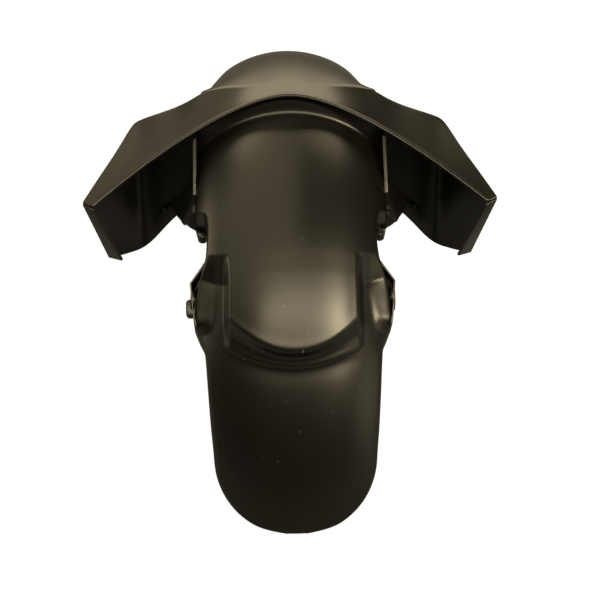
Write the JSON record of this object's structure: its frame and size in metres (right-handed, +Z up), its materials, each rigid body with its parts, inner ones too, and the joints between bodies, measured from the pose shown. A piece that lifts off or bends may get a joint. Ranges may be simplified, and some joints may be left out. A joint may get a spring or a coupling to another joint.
{
  "type": "motorcycle front mudguard",
  "caption": "One-piece moulded front mudguard with an arched saddle, raised middle pad, rounded tail, stepped front cowl with side winglets and bolt ears beside the fork legs.",
  "frame": {"origin": "middle of the four fork bolt holes, on the plane between the left and right sides", "axes": "+X to the rider's right along the bolts, +Y forward over the wheel, +Z up with the front wheel standing upright"},
  "size_m": [0.3764, 0.5425, 0.2508],
  "materials": {
    "plastic": "satin black injection-moulded plastic with a fine grain"
  },
  "bodies": {
    "root": {"mudguard": "plastic"}
  },
  "joints": []
}
